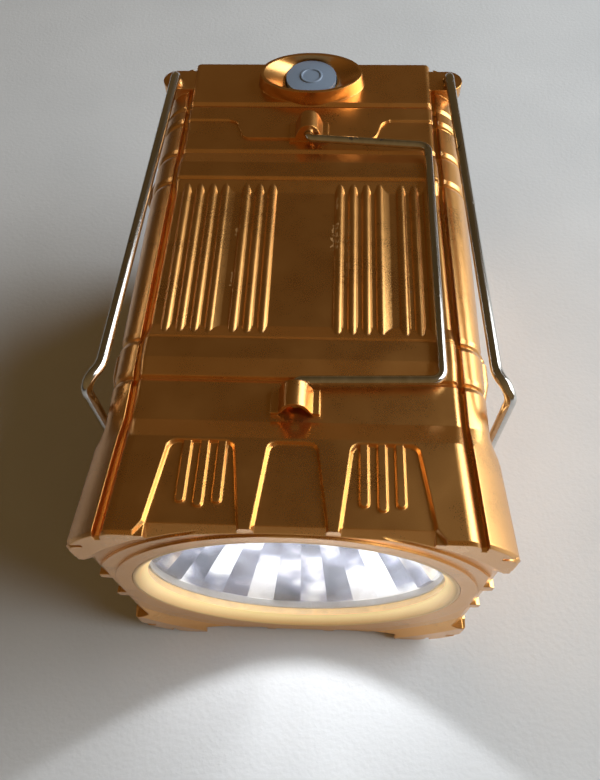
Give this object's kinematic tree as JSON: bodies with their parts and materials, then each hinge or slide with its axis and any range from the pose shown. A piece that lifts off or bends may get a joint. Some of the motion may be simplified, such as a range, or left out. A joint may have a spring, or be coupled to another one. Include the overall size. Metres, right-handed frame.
{
  "type": "pull-up camping lantern",
  "caption": "Square pull-up camping lantern with a torch in its flared base, a sliding lamp tube under a solar cap, folding wire bails and a push button.",
  "frame": {"origin": "middle of the bottom of the bounding box, with the lantern lying on its back", "axes": "+Y from the torch end to the solar end, +Z out of the front face with the button, +X to the right when the front face is seen with the torch end towards the viewer"},
  "size_m": [0.0884, 0.134, 0.0883],
  "materials": {
    "shell_paint": "metallic gold-copper paint on moulded plastic",
    "cap_paint": "metallic gold-copper paint on moulded plastic",
    "bezel_paint": "metallic gold paint, bright in the bore",
    "lens": "clear, polished",
    "gasket": "white silicone",
    "reflector": "metallised mirror",
    "emitter": "phosphor under clear resin",
    "led_board": "white solder mask",
    "inner_plastic": "plain moulded",
    "screw_steel": "zinc plated",
    "lamp_tube": "clear, polished",
    "tube_foot": "metallised",
    "solar_cell": "dark blue cells with silver fingers",
    "solar_cover": "clear epoxy",
    "cell_film": "matt laminate film",
    "circuit_board": "green solder mask",
    "switch_plastic": "matt black",
    "socket_steel": "nickel plated",
    "button": "satin grey-blue",
    "wire_steel": "nickel plated wire"
  },
  "bodies": {
    "body": {"body_shell": "shell_paint", "torch_bezel": "bezel_paint", "torch_lens": "lens", "lens_gasket": "gasket", "torch_reflector": "reflector", "torch_led": "emitter", "torch_led_board": "led_board", "partition_plate": "inner_plastic", "partition_screws": "screw_steel", "guide_ring": "inner_plastic"},
    "lamp_head": {"cap_shell": "cap_paint", "cap_floor": "inner_plastic", "cap_screws": "screw_steel", "solar_panel": "solar_cell", "solar_cover": "solar_cover", "battery_cell": "cell_film", "control_board": "circuit_board", "push_switch": "switch_plastic", "usb_socket": "socket_steel", "lamp_tube": "lamp_tube", "tube_foot": "tube_foot", "lamp_cone": "reflector", "lamp_led_plate": "led_board", "lamp_leds": "emitter"},
    "button": {"power_button": "button"},
    "bail_right": {"bail_right": "wire_steel"},
    "bail_left": {"bail_left": "wire_steel"},
    "handle": {"front_handle": "wire_steel"}
  },
  "joints": [
    {"name": "lamp_slide", "type": "slide", "parent": "body", "child": "lamp_head", "axis": [0, 1, 0], "range_m": [0, 0.0624]},
    {"name": "button_press", "type": "slide", "parent": "lamp_head", "child": "button", "axis": [0, 0, -1], "range_m": [0, 0.0012], "stiffness_N_per_m": 1500, "springref_m": -0.0006},
    {"name": "bail_right_hinge", "type": "hinge", "parent": "lamp_head", "child": "bail_right", "pos_m": [0.0362, 0.0604, 0.0434], "axis": [0, 0, 1], "range_deg": [0, 195]},
    {"name": "bail_left_hinge", "type": "hinge", "parent": "lamp_head", "child": "bail_left", "pos_m": [-0.0362, 0.0604, 0.0434], "axis": [0, 0, -1], "range_deg": [0, 195]},
    {"name": "handle_hinge", "type": "hinge", "parent": "body", "child": "handle", "pos_m": [0, 0, 0.0856], "axis": [0, -1, 0], "range_deg": [0, 180]}
  ]
}
